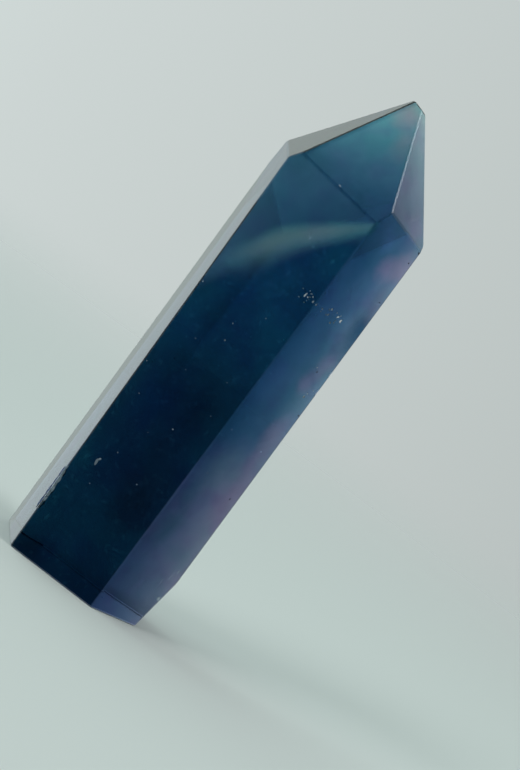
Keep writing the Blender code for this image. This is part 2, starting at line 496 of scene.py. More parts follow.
def growth_zone_group():
    """How deep a place lies inside the curved growth zone; a cloud bends the zone a little."""
    if "Growth zone" in bpy.data.node_groups:
        return bpy.data.node_groups["Growth zone"]
    group = new_group("Growth zone", [("Vector", "NodeSocketVector", None), ("Bend", "NodeSocketFloat", 0.0)],
                      [("Depth", "NodeSocketFloat")])
    start, end = group.nodes["Group Input"], group.nodes["Group Output"]
    axes = axes_of(group, (-700, 0), start.outputs["Vector"])
    sides = []
    for number, ((x, z), (into_x, into_z)) in enumerate(ZONE_PLANES):
        across = math_node(group, (-500, 100 - 300 * number), "SUBTRACT", axes["X"], x)
        above = math_node(group, (-500, -50 - 300 * number), "SUBTRACT", axes["Z"], z)
        across = math_node(group, (-350, 100 - 300 * number), "MULTIPLY", across, into_x)
        above = math_node(group, (-350, -50 - 300 * number), "MULTIPLY", above, into_z)
        sides.append(math_node(group, (-200, -300 * number), "ADD", across, above))
    depth = math_node(group, (0, 0), "SMOOTH_MIN", sides[0], sides[1])
    depth.node.inputs[2].default_value = ZONE_BEND
    cloud = node_of(group, "ShaderNodeTexNoise", (100, -250), scale=ZONE_CLOUD_SCALE, detail=2.0)
    group.links.new(start.outputs["Vector"], cloud.inputs["Vector"])
    wobble = math_node(group, (250, -250), "SUBTRACT", cloud.outputs["Fac"], 0.5)
    wobble = math_node(group, (400, -250), "MULTIPLY", wobble, start.outputs["Bend"])
    depth = math_node(group, (550, 0), "ADD", depth, wobble)
    group.links.new(depth, end.inputs["Depth"])
    return group


def band_group():
    """The milky band along the border of the growth zone, from 0 outside it to 1 where it is thickest.

    Lift is how far the stone in front of it is bleached, which ends sooner on the lower side.
    """
    if "Growth band" in bpy.data.node_groups:
        return bpy.data.node_groups["Growth band"]
    group = new_group("Growth band", [("Vector", "NodeSocketVector", None)],
                      [("Veil", "NodeSocketFloat"), ("Lift", "NodeSocketFloat")])
    start, end = group.nodes["Group Input"], group.nodes["Group Output"]
    zone = use_group(group, growth_zone_group(), (-700, 200), start.outputs["Vector"], bend=BAND_WOBBLE)
    axes = axes_of(group, (-700, -100), start.outputs["Vector"])
    width = ramp_node(group, (-500, 0), axes["X"], *BAND_WIDTHS, "LINEAR")
    zone = math_node(group, (-300, 100), "DIVIDE", zone, width)
    rise = ramp_node(group, (-100, 200), zone, *BAND_RISE)
    fall = ramp_node(group, (-100, 0), zone, *BAND_FALL)
    left = ramp_node(group, (-500, -200), axes["Z"], *BAND_LEFT_END)
    right = ramp_node(group, (-500, -400), axes["Z"], *BAND_RIGHT_END)
    veil = math_node(group, (100, 100), "MULTIPLY", rise, fall)
    veil = math_node(group, (250, 0), "MULTIPLY", veil, left)
    veil = math_node(group, (400, 0), "MULTIPLY", veil, right)
    group.links.new(veil, end.inputs["Veil"])
    group.links.new(math_node(group, (550, -150), "MULTIPLY", veil, fall), end.inputs["Lift"])
    return group


def clouds_group():
    """Soft clouds of any size, from 0 where it is clear to 1 in the thick of them."""
    if "Stone clouds" in bpy.data.node_groups:
        return bpy.data.node_groups["Stone clouds"]
    group = new_group("Stone clouds",
                      [("Vector", "NodeSocketVector", None), ("Scale", "NodeSocketFloat", 150.0),
                       ("Detail", "NodeSocketFloat", 4.0), ("Clear", "NodeSocketFloat", 0.4),
                       ("Thick", "NodeSocketFloat", 0.65)],
                      [("Cloud", "NodeSocketFloat")])
    start, end = group.nodes["Group Input"], group.nodes["Group Output"]
    cloud = node_of(group, "ShaderNodeTexNoise", (-400, 0), roughness=0.55)
    for name in ("Vector", "Scale", "Detail"):
        group.links.new(start.outputs[name], cloud.inputs[name])
    step = node_of(group, "ShaderNodeMapRange", (-100, 0), interpolation_type="SMOOTHSTEP")
    group.links.new(cloud.outputs["Fac"], step.inputs["Value"])
    group.links.new(start.outputs["Clear"], step.inputs["From Min"])
    group.links.new(start.outputs["Thick"], step.inputs["From Max"])
    group.links.new(step.outputs["Result"], end.inputs["Cloud"])
    return group


def use_group(tree, group, place, vector, **values):
    """Place a node group in a material with its own values."""
    node = tree.nodes.new("ShaderNodeGroup")
    node.node_tree = group
    node.location = place
    tree.links.new(vector, node.inputs["Vector"])
    for name, value in values.items():
        node.inputs[name.title()].default_value = value
    return node.outputs[0]


def moved(tree, place, vector, shift=(0.0, 0.0, 0.0), turn=(0.0, 0.0, 0.0), scale=(1.0, 1.0, 1.0)):
    """Coordinates that are centred on a place: (point - shift), turned and scaled."""
    away = node_of(tree, "ShaderNodeVectorMath", place, operation="SUBTRACT")
    tree.links.new(vector, away.inputs[0])
    away.inputs[1].default_value = shift
    node = node_of(tree, "ShaderNodeMapping", (place[0] + 160, place[1]))
    tree.links.new(away.outputs[0], node.inputs["Vector"])
    node.inputs["Rotation"].default_value = turn
    node.inputs["Scale"].default_value = scale
    return node.outputs[0]


def bent(tree, place, vector, scale, reach):
    """Coordinates that a cloud bends, so that what is laid out in them has an uneven outline."""
    cloud = node_of(tree, "ShaderNodeTexNoise", place, scale=scale, detail=3.0)
    tree.links.new(vector, cloud.inputs["Vector"])
    level = node_of(tree, "ShaderNodeVectorMath", (place[0] + 160, place[1]), operation="SUBTRACT")
    tree.links.new(cloud.outputs["Color"], level.inputs[0])
    level.inputs[1].default_value = (0.5, 0.5, 0.5)
    shift = node_of(tree, "ShaderNodeVectorMath", (place[0] + 320, place[1]), operation="SCALE", scale=reach)
    tree.links.new(level.outputs[0], shift.inputs[0])
    total = node_of(tree, "ShaderNodeVectorMath", (place[0] + 480, place[1]), operation="ADD")
    tree.links.new(vector, total.inputs[0])
    tree.links.new(shift.outputs[0], total.inputs[1])
    return total.outputs[0]


def soft_ball(tree, place, vector, centre, size):
    """1 at the middle of an ellipsoid and 0 on its surface, in a soft step."""
    scale = tuple(1.0 / (length * MM) for length in size)
    local = moved(tree, place, vector, tuple(value * MM for value in centre), scale=scale)
    reach = node_of(tree, "ShaderNodeVectorMath", (place[0] + 330, place[1]), operation="LENGTH")
    tree.links.new(local, reach.inputs[0])
    return ramp_node(tree, (place[0] + 500, place[1]), reach.outputs["Value"], 1.0, 0.0)


def face_toward(faces, bearing, rise):
    """The ground face that looks most nearly the way of a bearing and a rise, in degrees."""
    turn, lift = math.radians(bearing), math.radians(rise)
    way = Vector((math.sin(turn) * math.cos(lift), -math.cos(turn) * math.cos(lift), math.sin(lift)))
    return max(faces, key=lambda face: face[1].dot(way))


def on_face(tree, place, vector, face, inner=0.22 * MM, outer=0.06 * MM):
    """1 on one ground face of the stone, 0 on the others."""
    point, normal = face
    reach = node_of(tree, "ShaderNodeVectorMath", place, operation="DOT_PRODUCT")
    tree.links.new(vector, reach.inputs[0])
    reach.inputs[1].default_value = normal
    level = point.dot(normal)
    beside = (place[0] + 170, place[1])
    return ramp_node(tree, beside, reach.outputs["Value"], level - inner, level - outer)


def tint(colour, name):
    """A colour setting with full alpha."""
    return tuple(getattr(colour, name)) + (1.0,)


def front_colour(tree, place, settings):
    """The front face: blue-green above its growth zone, navy below, and darkest toward the foot, which is
    painted shade.
    """
    zone = use_group(tree, growth_zone_group(), (-2300, 500), place, bend=NAVY_WOBBLE)
    inside = ramp_node(tree, (-2100, 500), zone, *ZONE_FADE)
    # Painted shade: the navy darkens toward the foot.
    low = ramp_node(tree, (-2100, 300), axes_of(tree, (-2300, 300), place)["Z"], *FOOT_SHADE_FADE)
    body, deep = tint(settings, "body_colour"), tint(settings, "foot_shade_colour")
    navy = mix_node(tree, (-1900, 300), "MIX", low, body, deep)
    shifted = moved(tree, (-2600, 700), place, PATCH_SHIFT)
    patches = use_group(tree, clouds_group(), (-2300, 700), shifted, **PATCH_CLOUDS)
    navy = mix_node(tree, (-1800, 500), "MULTIPLY", patches, navy, tint(settings, "patch_colour"))
    dust = use_group(tree, clouds_group(), (-2300, 1300), place, **DUST_CLOUDS)
    navy = mix_node(tree, (-1750, 500), "MULTIPLY", dust, navy, DUST_TINT)
    ground = mix_node(tree, (-1700, 400), "MIX", inside, tint(settings, "tip_colour"), navy)
    veil = use_group(tree, band_group(), (-2300, 1000), place)
    ground = mix_node(tree, (-1700, 700), "MIX", veil, ground, BAND_RIM_TINT)
    lift = veil.node.outputs["Lift"]
    return mix_node(tree, (-1500, 700), "MIX", lift, ground, tint(settings, "band_colour"))


def right_colour(tree, place, settings):
    """The right face: dark blue along the front edge and paler violet toward its outer edge, with painted
    light making it paler and warmer toward the foot.
    """
    across = node_of(tree, "ShaderNodeVectorMath", (-2300, 0), operation="DOT_PRODUCT")
    tree.links.new(place, across.inputs[0])
    across.inputs[1].default_value = ACROSS_RIGHT
    part = ramp_node(tree, (-2100, 0), across.outputs["Value"], *RIGHT_SPAN, kind="LINEAR")
    ramp = node_of(tree, "ShaderNodeValToRGB", (-1900, 0))
    stops = ramp.color_ramp.elements
    stops[0].color = tint(settings, "edge_colour")
    stops[1].color = tint(settings, "outer_colour")
    middle = stops.new(RIGHT_MIDDLE)
    middle.color = tint(settings, "right_colour")
    tree.links.new(part, ramp.inputs["Fac"])
    # Painted light: the right face turns paler and warmer toward the foot.
    foot = ramp_node(tree, (-2100, -200), axes_of(tree, (-2300, -200), place)["Z"], *RIGHT_FOOT_LIGHT_FADE)
    pale = mix_node(tree, (-1700, -100), "MIX", part, *RIGHT_FOOT_LIGHT_TINTS)
    return mix_node(tree, (-1600, 0), "MIX", foot, ramp.outputs["Color"], pale)


def tip_left_colour(tree, place):
    """The narrow tip face on the left: clear, and blue toward the point."""
    high = ramp_node(tree, (-2100, -400), axes_of(tree, (-2300, -400), place)["Z"], *TIP_LEFT_FADE)
    return mix_node(tree, (-1900, -400), "MIX", high, *TIP_LEFT_TINTS)


def edge_line(tree, place, vector, one, other, reach=EDGE_DEPTH):
    """1 on one ground face, in the strip that reaches some millimetres from its edge with another."""
    first = on_face(tree, place, vector, one, EDGE_DEPTH * MM, EDGE_OUTER)
    second = on_face(tree, (place[0], place[1] - 150), vector, other, reach * MM, EDGE_OUTER)
    return math_node(tree, (place[0] + 350, place[1]), "MULTIPLY", first, second)


def face_tints(tree, place, settings, looks):
    """The tint of each ground face on the camera's side; the others are clear."""
    colour = CLEAR
    for number, (name, paint) in enumerate((
            ("tip_left", tip_left_colour(tree, place)),
            ("tip_right", TIP_RIGHT_TINT),
            ("tip_front", tint(settings, "tip_colour")),
            ("front", front_colour(tree, place, settings)),
            ("right", right_colour(tree, place, settings)))):
        here = on_face(tree, (-1600, 900 - 200 * number), place, looks[name])
        colour = mix_node(tree, (-1200 + 150 * number, 400), "MIX", here, colour, paint)
    return colour


def clouded(tree, place, colour):
    """A tint with a cloudy drift and a faint violet haze over it."""
    drift = use_group(tree, clouds_group(), (-1200, -400), place, **DRIFT_CLOUDS)
    colour = mix_node(tree, (-650, 0), "MULTIPLY", drift, colour, DRIFT_TINT)
    shifted = moved(tree, (-1500, -600), place, HAZE_SHIFT)
    haze = use_group(tree, clouds_group(), (-1200, -600), shifted, **HAZE_CLOUDS)
    return mix_node(tree, (-450, 0), "MULTIPLY", haze, colour, HAZE_TINT)


def patched(tree, place, settings, colour):
    """A tint with the dark, light, grey and violet patches of this stone in it."""
    uneven = bent(tree, (-2200, 1500), place, BALL_BEND_SCALE, BALL_BEND)
    for number, (centre, size, paint) in enumerate(TINT_BALLS):
        ball = soft_ball(tree, (-1500, 1800 - 160 * number), uneven, centre, size)
        colour = mix_node(tree, (-250 + 60 * number, 300), "MULTIPLY", ball, colour, paint)
    point = soft_ball(tree, (-1500, 2600), uneven, *POINT_BALL)
    colour = mix_node(tree, (-300, 500), "MIX", point, colour, tint(settings, "point_colour"))
    paint = tint(settings, "violet_colour")
    for number, (centre, size, part) in enumerate(VIOLET_BALLS):
        ball = soft_ball(tree, (-1500, -900 - 160 * number), uneven, centre, size)
        ball = math_node(tree, (-900, -900 - 160 * number), "MULTIPLY", ball, part)
        colour = mix_node(tree, (-250 + 60 * number, -300), "MIX", ball, colour, paint)
    return colour


def shade_along_edges(tree, place, looks, colour):
    """A tint with painted shade: dark lines along the edges."""
    for number, (one, other, reach, paint) in enumerate(EDGE_SHADE_LINES):
        strip = edge_line(tree, (-1500, 2400 - 300 * number), place, looks[one], looks[other], reach)
        colour = mix_node(tree, (250 + 60 * number, 0), "MULTIPLY", strip, colour, paint)
    return colour


def stone_roughness(tree, place, settings, faces, looks):
    """Polished with faint smears; dull where it is chipped, sawn, or rubbed along one edge of the tip."""
    chipped = node_of(tree, "ShaderNodeAttribute", (-900, -700), attribute_name="chipped")
    smears = use_group(tree, clouds_group(), (-900, -900), place, **SMEAR_CLOUDS)
    polish = ramp_node(tree, (-600, -900), smears, 0.0, 1.0, settings.polish,
                       settings.polish * SMEAR_ROUGHNESS, "LINEAR")
    sawn = on_face(tree, (-900, -1050), place, min(faces, key=lambda face: face[1].z))
    worn = math_node(tree, (-600, -700), "MAXIMUM", chipped.outputs["Fac"], sawn)
    rubbed = edge_line(tree, (-900, -1400), place, looks["tip_front"], looks["tip_right"])
    worn = math_node(tree, (-550, -700), "MAXIMUM", worn, rubbed)
    worn = math_node(tree, (-500, -700), "MULTIPLY", worn, WORN_ROUGHNESS)
    return math_node(tree, (-400, -800), "MAXIMUM", polish, worn)


def polishing_lines(tree, place):
    """The normal of a surface with very faint lines from the polishing."""
    along = moved(tree, (-900, -1200), place, turn=POLISH_TURN, scale=POLISH_STRETCH)
    lines = node_of(tree, "ShaderNodeTexNoise", (-560, -1200), scale=POLISH_SCALE, detail=1.0)
    tree.links.new(along, lines.inputs["Vector"])
    bump = node_of(tree, "ShaderNodeBump", (-300, -1200))
    bump.inputs["Strength"].default_value = POLISH_STRENGTH
    bump.inputs["Distance"].default_value = POLISH_DEPTH
    tree.links.new(lines.outputs["Fac"], bump.inputs["Height"])
    return bump.outputs["Normal"]


def fluorite_material(settings, faces):
    """Clear polished fluorite: blue-green at the tip, navy below its growth zone, violet along one edge."""
    material, tree, shader = new_material("polished fluorite")
    shader.inputs["Metallic"].default_value = 0.0
    shader.inputs["IOR"].default_value = settings.refraction
    shader.inputs["Transmission Weight"].default_value = 1.0
    place = object_place(tree, (-2600, 0))
    looks = {name: face_toward(faces, *way) for name, way in FACE_WAYS.items()}

    colour = face_tints(tree, place, settings, looks)
    colour = clouded(tree, place, colour)
    colour = patched(tree, place, settings, colour)
    # Painted shade: dark lines along the edges.
    colour = shade_along_edges(tree, place, looks, colour)
    tree.links.new(colour, shader.inputs["Base Color"])
    tree.links.new(stone_roughness(tree, place, settings, faces, looks), shader.inputs["Roughness"])
    tree.links.new(polishing_lines(tree, place), shader.inputs["Normal"])

    absorb = tree.nodes.new("ShaderNodeVolumeAbsorption")
    absorb.location = (50, -500)
    absorb.inputs["Color"].default_value = tint(settings, "depth_colour")
    absorb.inputs["Density"].default_value = settings.depth
    tree.links.new(absorb.outputs[0], tree.nodes["Material Output"].inputs["Volume"])
    return material


def pale_material(name, tints, grain):
    """Dull matter with a fine grain; the pale attribute says how light each bit of it is."""
    material, tree, shader = new_material(name)
    place = object_place(tree, (-900, 0))
    cloud = use_group(tree, clouds_group(), (-700, 0), place, scale=grain, **GRAIN_CLOUDS)
    pale = node_of(tree, "ShaderNodeAttribute", (-700, -250), attribute_name="pale").outputs["Fac"]
    colour = mix_node(tree, (-400, -100), "MIX", pale, *tints)
    colour = mix_node(tree, (-200, 0), "MULTIPLY", cloud, colour, GRAIN_TINT)
    tree.links.new(colour, shader.inputs["Base Color"])
    shader.inputs["Roughness"].default_value = 0.5
    return material


def band_material(settings):
    """The milky inner band, streaky and thin."""
    material, tree, shader = new_material("milky growth band")
    place = object_place(tree, (-1500, 0))
    veil = use_group(tree, band_group(), (-1300, 0), place)
    streaky = moved(tree, (-1500, -700), place, turn=STREAK_TURN, scale=STREAK_SCALE)
    cloud = use_group(tree, clouds_group(), (-1100, -700), streaky, **STREAK_CLOUDS)
    cloud = ramp_node(tree, (-800, -700), cloud, 0.0, 1.0, *STREAK_LEVELS, "LINEAR")
    veil = math_node(tree, (-400, -100), "MULTIPLY", veil, cloud)
    veil = math_node(tree, (-250, -100), "MULTIPLY", veil, settings.band_strength)
    tree.links.new(veil, shader.inputs["Alpha"])
    milk = mix_node(tree, (-400, 200), "MIX", cloud, *MILK_TINTS)
    tree.links.new(milk, shader.inputs["Base Color"])
    shader.inputs["Roughness"].default_value = 0.8
    return material


class StoneSettings(bpy.types.PropertyGroup):
    """How the stone is ground, coloured and polished."""

    edge_width: FloatProperty(
        name="Edge width", description="Width of the rounding along every edge",
        default=0.00016, min=0.0, unit="LENGTH")
    edge_round: FloatProperty(
        name="Edge round", description="Width of the rounding at the rim of each edge flat",
        default=0.00003, min=0.0, unit="LENGTH")
    refraction: FloatProperty(
        name="Refraction", description="Index of refraction of fluorite",
        default=1.434)
    polish: FloatProperty(
        name="Polish", description="Roughness of the polished faces",
        default=0.02, min=0.0, max=1.0, subtype="FACTOR")
    depth_colour: FloatVectorProperty(
        name="Depth colour", description="Colour that light takes inside the stone",
        default=(0.30, 0.35, 0.58), subtype="COLOR", min=0.0, max=1.0)
    depth: FloatProperty(
        name="Depth", description="How strongly the stone absorbs light, per metre",
        default=200.0, min=0.0)
    tip_colour: FloatVectorProperty(
        name="Tip colour", description="Tint of the blue-green tip",
        default=(0.130, 0.78, 0.79), subtype="COLOR", min=0.0, max=1.0)
    point_colour: FloatVectorProperty(
        name="Point colour", description="Tint of the greyer stone by the point",
        default=(0.46, 0.56, 0.60), subtype="COLOR", min=0.0, max=1.0)
    body_colour: FloatVectorProperty(
        name="Body colour", description="Tint of the navy zone below the band",
        default=(0.003, 0.24, 0.28), subtype="COLOR", min=0.0, max=1.0)
    # Painted shade: the navy of the front face, darkened toward the foot.
    foot_shade_colour: FloatVectorProperty(
        name="Deep colour", description="Tint of the navy zone toward the foot",
        default=(0.0012, 0.066, 0.078), subtype="COLOR", min=0.0, max=1.0)
    patch_colour: FloatVectorProperty(
        name="Patch colour", description="What the dark patches of the navy zone let by",
        default=(0.80, 0.52, 0.74), subtype="COLOR", min=0.0, max=1.0)
    band_colour: FloatVectorProperty(
        name="Band colour", description="Tint of the stone where the milky band lies",
        default=(0.66, 1.0, 1.0), subtype="COLOR", min=0.0, max=1.0)
    edge_colour: FloatVectorProperty(
        name="Edge colour", description="Tint of the right face by the front edge",
        default=(0.034, 0.33, 0.38), subtype="COLOR", min=0.0, max=1.0)
    right_colour: FloatVectorProperty(
        name="Right colour", description="Tint in the middle of the right face",
        default=(0.105, 0.38, 0.44), subtype="COLOR", min=0.0, max=1.0)
    outer_colour: FloatVectorProperty(
        name="Outer colour", description="Tint of the right face at its outer edge",
        default=(0.40, 0.58, 0.57), subtype="COLOR", min=0.0, max=1.0)
    violet_colour: FloatVectorProperty(
        name="Violet colour", description="Tint of the patches along one edge",
        default=(1.0, 0.62, 0.66), subtype="COLOR", min=0.0, max=1.0)


class InclusionSettings(bpy.types.PropertyGroup):
    """What is frozen inside the stone."""

    flecks: IntProperty(
        name="Fine flecks", description="Finest flecks along the healed crack",
        default=15, min=0)
    fleck_size: FloatProperty(
        name="Fine fleck size", description="Width of the largest of the finest flecks",
        default=0.00024, min=0.0, unit="LENGTH")
    crumbs: IntProperty(
        name="Crumbs", description="Loose crumbs spread through the stone",
        default=70, min=0)
    crumb_size: FloatProperty(
        name="Crumb size", description="Width of the largest loose crumb",
        default=0.00016, min=0.0, unit="LENGTH")
    band_strength: FloatProperty(
        name="Band strength", description="How milky each layer of the growth band is",
        default=0.235, min=0.0, max=1.0, subtype="FACTOR")
    band_layers: IntProperty(
        name="Band layers", description="Thin layers that make up the band",
        default=3, min=1)
    band_spacing: FloatProperty(
        name="Band spacing", description="From one layer of the band to the next",
        default=0.0003, min=0.0, unit="LENGTH")
    band_depth: FloatProperty(
        name="Band depth", description="How far the band lies behind the front face",
        default=0.0004, min=0.0, unit="LENGTH")


class StudioSettings(bpy.types.PropertyGroup):
    """The plain studio and the camera."""

    backdrop_left: FloatVectorProperty(
        name="Backdrop, left", description="Tone of the backdrop far to the left",
        default=(0.91, 1.12, 1.08), subtype="COLOR", min=0.0)
    backdrop_middle: FloatVectorProperty(
        name="Backdrop, middle", description="Tone of the backdrop behind the stone",
        default=(0.605, 0.663, 0.653), subtype="COLOR", min=0.0)
    backdrop_right: FloatVectorProperty(
        name="Backdrop, right", description="Tone of the backdrop to the right",
        default=(0.39, 0.43, 0.42), subtype="COLOR", min=0.0)
    floor_colour: FloatVectorProperty(
        name="Floor", description="Colour of the floor",
        default=(0.70, 0.76, 0.74), subtype="COLOR", min=0.0, max=1.0)
    key_power: FloatProperty(
        name="Key light", description="Power of the light up to the right, in watts",
        default=0.65)
    fill_power: FloatProperty(
        name="Fill light", description="Power of the light up to the left, in watts",
        default=0.8)
    side_power: FloatProperty(
        name="Back right light", description="Power of the light behind on the right, in watts",
        default=0.018)
    rim_power: FloatProperty(
        name="Back left light", description="Power of the light behind on the left, in watts",
        default=0.011)
    tilt: FloatProperty(
        name="Tilt", description="How far the camera is rolled, as in the picture",
        default=math.radians(36.0), subtype="ANGLE")
    height: FloatProperty(
        name="Height", description="How far the camera looks down",
        default=math.radians(5.0), subtype="ANGLE")
    distance: FloatProperty(
        name="Distance", description="From the camera to the middle of the stone",
        default=0.350, unit="LENGTH")


class FLUORITE_OT_grind_stone(bpy.types.Operator):
    """Grind a blank to the frame's faces, round its edges, chip it and polish it"""

    bl_idname = "fluorite.grind_stone"
    bl_label = "Grind stone"

    def execute(self, context):
        settings = context.scene.fluorite_stone
        faces = ground_faces(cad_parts[STONE_NODE])
        low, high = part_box(STONE_NODE)
        middle = (low + high) / 2
        bpy.ops.object.select_all(action="DESELECT")
        bpy.ops.mesh.primitive_cylinder_add(vertices=6, radius=(high - low).x,
                                            depth=(high - low).z * BLANK_EXCESS, location=middle)
        stone = context.object
        settle(stone, "polished_stone")
        open_mesh(stone)
        for point, normal in faces:
            bpy.ops.mesh.select_all(action="SELECT")
            bpy.ops.mesh.bisect(plane_co=point, plane_no=normal, use_fill=True, clear_outer=True,
                                threshold=CUT_GAP)
        bpy.ops.mesh.select_all(action="SELECT")
        bpy.ops.mesh.remove_doubles(threshold=WELD_GAP)
        bpy.ops.mesh.normals_make_consistent(inside=False)
        bpy.ops.mesh.select_mode(type="EDGE")
        for width, steps in ((settings.edge_width, 1), (settings.edge_round, 2)):
            bpy.ops.mesh.select_all(action="DESELECT")
            bpy.ops.mesh.edges_select_sharp(sharpness=SHARP_ANGLE)
            bpy.ops.mesh.bevel(offset=width, segments=steps, profile=0.5, affect="EDGES", clamp_overlap=False)
        bpy.ops.mesh.select_mode(type="FACE")
        close_mesh()
        self.chip(stone)
        self.polish(stone)
        stone.data.materials.clear()
        stone.data.materials.append(fluorite_material(settings, faces))
        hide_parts(STONE_NODE)
        declare(stone)
        return {"FINISHED"}

    def chip(self, stone):
        """Knock the chips out of the edges, and mark the faces that they leave."""
        whole = bpy.data.materials.new("whole face")
        broken = bpy.data.materials.new("broken face")
        stone.data.materials.append(whole)
        stone.data.materials.append(broken)
        cutters = []
        for number, (place, radius, stretch) in enumerate(CHIPS):
            bpy.ops.object.select_all(action="DESELECT")
            bpy.ops.mesh.primitive_ico_sphere_add(subdivisions=3, radius=radius * MM,
                                                  location=tuple(value * MM for value in place))
            cutter = bpy.context.object
            open_mesh(cutter)
            bpy.ops.transform.resize(value=(1.0, 1.0, stretch))
            bpy.ops.transform.vertex_random(offset=radius * MM * 0.08, uniform=0.6, normal=0.0,
                                            seed=number + 3)
            close_mesh()
            cutter.data.materials.append(broken)
            cutters.append(cutter)
        cutter = join_pieces(cutters)
        only_this(stone)
        knock = stone.modifiers.new("Chips", "BOOLEAN")
        knock.operation = "DIFFERENCE"
        knock.object = cutter
        knock.solver = "EXACT"
        knock.use_self = True
        knock.material_mode = "TRANSFER"
        bpy.ops.object.modifier_apply(modifier=knock.name)
        bpy.data.objects.remove(cutter, do_unlink=True)
        names = [slot.material.name if slot.material else "" for slot in stone.material_slots]
        mark = stone.data.color_attributes.new("chipped", "FLOAT_COLOR", "CORNER")
        for face in stone.data.polygons:
            value = 1.0 if names[face.material_index] == broken.name else 0.0
            for corner in face.loop_indices:
                mark.data[corner].color = (value, value, value, 1.0)

    def polish(self, stone):
        """Smooth the rounded edges and keep the ground faces flat."""
        only_this(stone)
        bpy.ops.object.shade_smooth_by_angle(angle=SMOOTH_ANGLE)
        even = stone.modifiers.new("Flat faces", "WEIGHTED_NORMAL")
        even.mode = "FACE_AREA"
        even.weight = 80
        even.keep_sharp = True
        bpy.ops.object.modifier_apply(modifier=even.name)


def scattered(master, name, places, material):
    """Copies of one small shape, each with its own mesh, joined into one piece."""
    copies = []
    for place, turn, size, pale in places:
        data = master.data.copy()
        data.transform(Matrix.Translation(place) @ turn @ Matrix.Diagonal((*size, 1.0)))
        mark = data.color_attributes.new("pale", "FLOAT_COLOR", "CORNER")
        for corner in mark.data:
            corner.color = (pale, pale, pale, 1.0)
        copy = bpy.data.objects.new(name, data)
        bpy.context.scene.collection.objects.link(copy)
        copies.append(copy)
    bpy.data.objects.remove(master, do_unlink=True)
    piece = join_pieces(copies)
    settle(piece, name)
    open_mesh(piece)
    bpy.ops.mesh.normals_make_consistent(inside=False)
    close_mesh()
    piece.data.materials.clear()
    piece.data.materials.append(material)
    declare(piece)


class FLUORITE_OT_crack_flecks(bpy.types.Operator):
    """Lay the silvery flecks of the healed crack"""

    bl_idname = "fluorite.crack_flecks"
    bl_label = "Crack flecks"

    def execute(self, context):
        settings = context.scene.fluorite_inclusions
        bpy.ops.object.select_all(action="DESELECT")
        bpy.ops.mesh.primitive_circle_add(vertices=8, radius=0.5, fill_type="NGON")
        master = context.object
        open_mesh(master)
        bpy.ops.mesh.extrude_region_move(TRANSFORM_OT_translate={"value": (0.0, 0.0, 0.12)})
        bpy.ops.mesh.select_all(action="SELECT")
        bpy.ops.transform.vertex_random(offset=0.12, uniform=0.4, normal=0.0, seed=5)
        bpy.ops.mesh.bisect(plane_co=(0.28, 0.1, 0.0), plane_no=(1.0, 0.35, 0.2), use_fill=True,
                            clear_outer=True, threshold=0.0001)
        close_mesh()
        draw = random.Random(31)
        faces = ground_faces(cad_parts[STONE_NODE])
        places = []
        for x, z, width, height, spin, pale in FLECKS:
            place, normal = surface_place(faces, x, z)
            size = (width * MM, height * MM, FLECK_THICKNESS)
            places.append((place, flat_on(normal, math.radians(spin)), size, pale))
        for number in range(settings.flecks):
            part = draw.random()
            x = CRACK_START[0] + (CRACK_END[0] - CRACK_START[0]) * part
            z = CRACK_START[1] + (CRACK_END[1] - CRACK_START[1]) * part + draw.gauss(0.0, CRACK_SPREAD)
            place, normal = surface_place(faces, x, z)
            width = settings.fleck_size * draw.uniform(0.4, 1.0)
            size = (width, width * draw.uniform(0.7, 1.4), FINE_FLECK_THICKNESS)
            places.append((place, flat_on(normal, draw.uniform(-1.5, 1.5)), size, draw.uniform(0.0, 0.10)))
        material = pale_material("silvery crack fleck", FLECK_TINTS, 1500.0)
        scattered(master, "crack_flecks", places, material)
        return {"FINISHED"}


class FLUORITE_OT_crumbs(bpy.types.Operator):
    """Scatter the pale crumbs that sit inside the stone"""

    bl_idname = "fluorite.crumbs"
    bl_label = "Crumbs"

    def execute(self, context):
        settings = context.scene.fluorite_inclusions
        bpy.ops.object.select_all(action="DESELECT")
        bpy.ops.mesh.primitive_ico_sphere_add(subdivisions=2, radius=0.5)
        master = context.object
        open_mesh(master)
        bpy.ops.transform.vertex_random(offset=0.16, uniform=0.5, normal=0.0, seed=8)
        close_mesh()
        draw = random.Random(77)
        faces = ground_faces(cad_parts[STONE_NODE])
        low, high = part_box(STONE_NODE)
        places = []
        for x, z, width, height, pale in SPECKS + SPLINTERS:
            place, normal = surface_place(faces, x, z)
            spin = 0.15 if height > 2 * width else 0.6
            turn = flat_on(normal, draw.uniform(-spin, spin))
            places.append((place, turn, (width * MM, height * MM, CRUMB_THICKNESS), pale))
        listed = len(places)
        while len(places) < listed + settings.crumbs:
            place = Vector(draw.uniform(low[axis], high[axis]) for axis in range(3))
            deep = max((place - point).dot(normal) for point, normal in faces)
            if -CRUMB_DEPTHS[0] < deep < -CRUMB_DEPTHS[1]:
                width = settings.crumb_size * draw.uniform(0.25, 1.0) ** 1.5
                way = Vector((draw.uniform(-1.0, 1.0), draw.uniform(-1.0, 1.0), 0.6)).normalized()
                turn = flat_on(way, 0.0)
                places.append((place, turn, (width, width * 0.7, width * draw.uniform(0.6, 1.6)), 0.6))
        material = pale_material("pale crumb", CRUMB_TINTS, 900.0)
        scattered(master, "crumbs", places, material)
        return {"FINISHED"}


